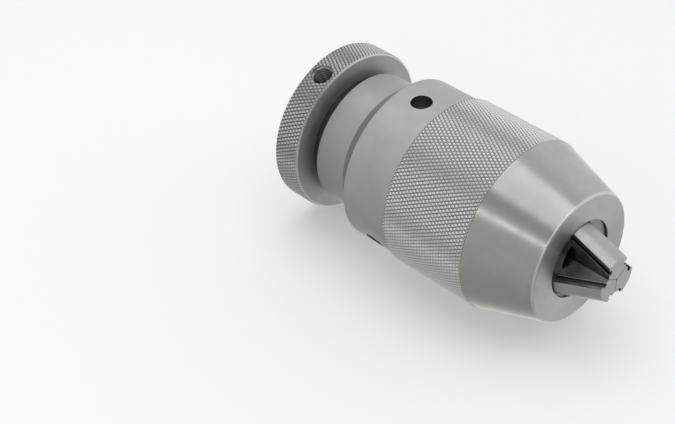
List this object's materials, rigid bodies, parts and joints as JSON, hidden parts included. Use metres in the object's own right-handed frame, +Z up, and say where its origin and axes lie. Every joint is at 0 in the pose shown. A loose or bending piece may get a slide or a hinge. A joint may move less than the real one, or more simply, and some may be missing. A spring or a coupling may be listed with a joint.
{
  "type": "keyless drill chuck",
  "caption": "Keyless self-tightening drill chuck with a knurled sleeve, a rear holding ring, a conical hood and sliding jaws fed by a left-hand screw on a taper-mounted body.",
  "frame": {"origin": "centre of the taper socket's mouth, in the plane of the rear face", "axes": "+X along the chuck axis towards the nose, +Z up with the chuck lying on its side, +Y to the left seen from the rear"},
  "size_m": [0.1018, 0.05, 0.05],
  "materials": {
    "satin_steel": "satin, bead-blasted and hard-chromed",
    "turned_steel": "fine turned and polished",
    "ground_steel": "hardened and ground",
    "body_steel": "turned, lightly oiled",
    "bearing_steel": "ground and polished",
    "spring_steel": "black oxide",
    "cage_brass": "turned",
    "bronze": "turned"
  },
  "bodies": {
    "spindle": {"body": "body_steel", "holding_ring": "satin_steel", "race_front": "bearing_steel", "thrust_washer": "bronze"},
    "sleeve": {"knurled_sleeve": "satin_steel", "hood": "turned_steel", "jaw_guide": "ground_steel", "guide_dowels": "bearing_steel", "race_rear": "bearing_steel", "snap_ring": "spring_steel"},
    "cage": {"ball_cage": "cage_brass", "bearing_balls": "bearing_steel"},
    "screw": {"feed_screw": "body_steel"},
    "jaw_top": {"jaw_top": "ground_steel"},
    "jaw_left": {"jaw_left": "ground_steel"},
    "jaw_right": {"jaw_right": "ground_steel"}
  },
  "joints": [
    {"name": "sleeve_turn", "type": "hinge", "parent": "spindle", "child": "sleeve", "pos_m": [0.03, 0, 0], "axis": [1, 0, 0], "range_deg": [0, 2142]},
    {"name": "screw_feed", "type": "slide", "parent": "sleeve", "child": "screw", "axis": [-1, 0, 0], "range_m": [0, 0.01786]},
    {"name": "jaw_top_slide", "type": "slide", "parent": "sleeve", "child": "jaw_top", "axis": [-0.9397, 0, 0.342], "range_m": [0, 0.01901]},
    {"name": "jaw_left_slide", "type": "slide", "parent": "sleeve", "child": "jaw_left", "axis": [-0.9397, -0.2962, -0.171], "range_m": [0, 0.01901]},
    {"name": "jaw_right_slide", "type": "slide", "parent": "sleeve", "child": "jaw_right", "axis": [-0.9397, 0.2962, -0.171], "range_m": [0, 0.01901]},
    {"name": "cage_turn", "type": "hinge", "parent": "spindle", "child": "cage", "pos_m": [0.02, 0, 0], "axis": [1, 0, 0], "range_deg": [0, 1071]}
  ],
  "couplings": [
    {"joint": "screw_feed", "follows": "sleeve_turn", "m_per_rad": 0.00047746},
    {"joint": "jaw_top_slide", "follows": "sleeve_turn", "m_per_rad": 0.00050811},
    {"joint": "jaw_left_slide", "follows": "sleeve_turn", "m_per_rad": 0.00050811},
    {"joint": "jaw_right_slide", "follows": "sleeve_turn", "m_per_rad": 0.00050811},
    {"joint": "cage_turn", "follows": "sleeve_turn", "ratio": 0.5}
  ]
}
